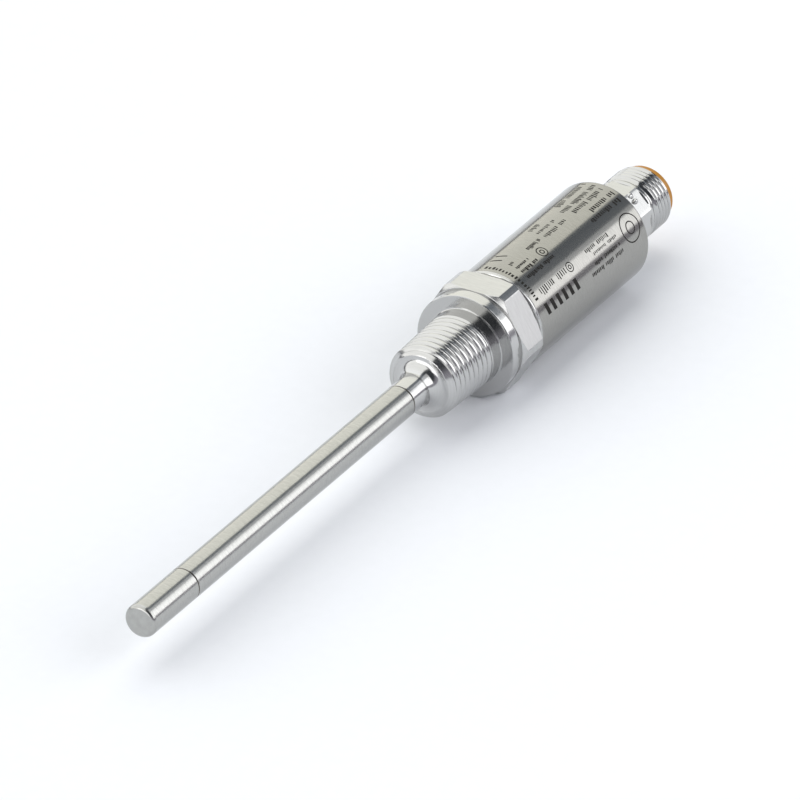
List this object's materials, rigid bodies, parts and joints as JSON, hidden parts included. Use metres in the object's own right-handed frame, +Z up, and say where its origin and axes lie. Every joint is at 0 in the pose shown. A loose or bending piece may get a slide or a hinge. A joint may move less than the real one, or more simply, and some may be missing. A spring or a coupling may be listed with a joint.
{
  "type": "temperature transmitter",
  "caption": "Compact temperature transmitter with a thin steel probe, a hexagon fitting with a taper pipe thread, a tubular housing and a round plug connector.",
  "frame": {"origin": "On the axis of the turned parts, at the front face of the fitting's collar, where the process thread's neck meets it", "axes": "+X along the axis towards the round connector, so the probe's tip is at -X; +Z up, with one flat of the fitting's hexagon facing -Z and another +Z"},
  "size_m": [0.1682, 0.0212, 0.019],
  "materials": {
    "probe_steel": "satin drawn tube, fine lines round it",
    "fitting_steel": "bright turned",
    "housing_steel": "fine-ground, with dark laser marks",
    "shell_steel": "bright turned",
    "carrier_plastic": "moulded, satin",
    "contact_gold": "gold plated",
    "element_ceramic": "smooth",
    "compound": "matt paste",
    "lead_copper": "bare wire",
    "sleeve_plastic": "smooth",
    "guide_plastic": "moulded",
    "board_laminate": "solder resist",
    "chip_plastic": "moulded",
    "capacitor_resin": "moulded",
    "chip_ceramic": "smooth"
  },
  "bodies": {
    "root": {"tip_cap": "probe_steel", "probe_tube": "probe_steel", "process_fitting": "fitting_steel", "housing_sleeve": "housing_steel", "connector_shell": "shell_steel", "contact_carrier": "carrier_plastic", "contact_pin_1": "contact_gold", "contact_pin_2": "contact_gold", "contact_pin_3": "contact_gold", "contact_pin_4": "contact_gold", "sensing_element": "element_ceramic", "thermal_compound": "compound", "lead_wire_1": "lead_copper", "lead_wire_2": "lead_copper", "lead_sleeve": "sleeve_plastic", "lead_guide": "guide_plastic", "circuit_board": "board_laminate", "terminal_board": "board_laminate", "converter_chip": "chip_plastic", "processor_chip": "chip_plastic", "output_driver": "chip_plastic", "storage_capacitor": "capacitor_resin", "surge_diode": "chip_plastic", "chip_capacitors": "chip_ceramic", "chip_resistors": "chip_ceramic"}
  },
  "joints": []
}
